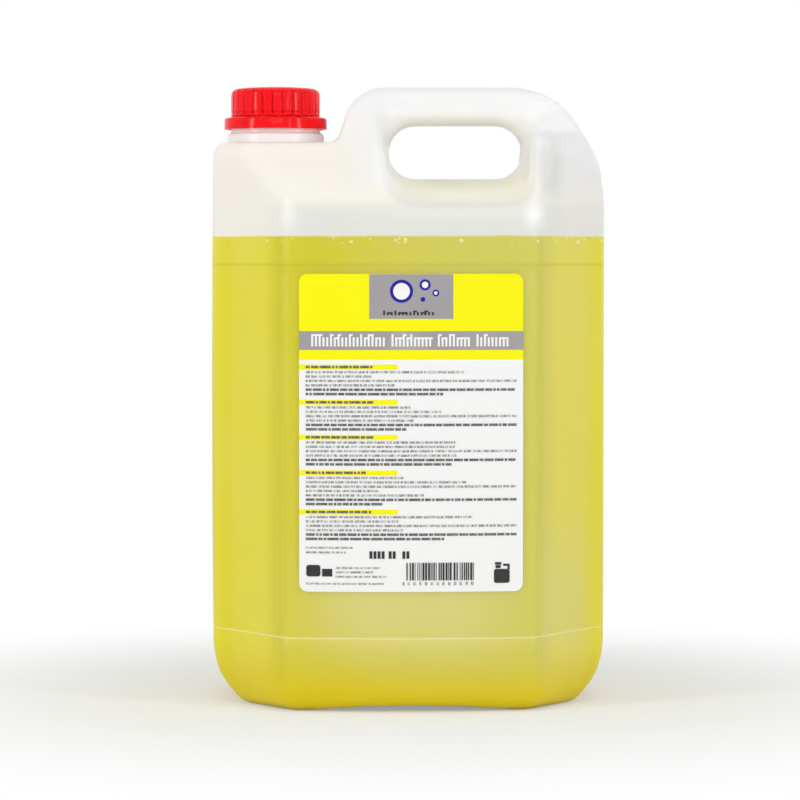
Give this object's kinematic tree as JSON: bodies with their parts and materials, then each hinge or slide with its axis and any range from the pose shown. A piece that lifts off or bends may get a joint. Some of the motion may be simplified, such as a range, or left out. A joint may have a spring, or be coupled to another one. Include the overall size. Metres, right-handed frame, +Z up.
{
  "type": "dish soap jug",
  "caption": "Translucent blow-moulded jug of yellow dish soap, with a through handle, a front label and a red ribbed screw cap over a tamper ring.",
  "frame": {"origin": "on the floor under the middle of the jug's box", "axes": "+Z up, -Y the labelled front, +X towards the handle's back leg; the neck is on the -X side"},
  "size_m": [0.19, 0.142, 0.2961],
  "materials": {
    "bottle": "translucent natural polyethylene, satin",
    "soap": "clear yellow liquid",
    "label": "printed film, semi-gloss",
    "cap_red": "moulded polyethylene, semi-gloss",
    "liner": "foam disc"
  },
  "bodies": {
    "jug": {"jug_body": "bottle", "dish_soap": "soap", "front_label": "label", "tamper_ring": "cap_red"},
    "liner": {"cap_liner": "liner"},
    "cap": {"screw_cap": "cap_red"}
  },
  "joints": [
    {"name": "cap_lift", "type": "slide", "parent": "jug", "child": "liner", "axis": [0, 0, 1], "range_m": [0, 0.008]},
    {"name": "cap_turn", "type": "hinge", "parent": "liner", "child": "cap", "pos_m": [-0.064, 0, 0.2887], "axis": [0, 0, 1], "range_deg": [0, 720]}
  ],
  "couplings": [
    {"joint": "cap_lift", "follows": "cap_turn", "m_per_rad": 0.00063662}
  ]
}
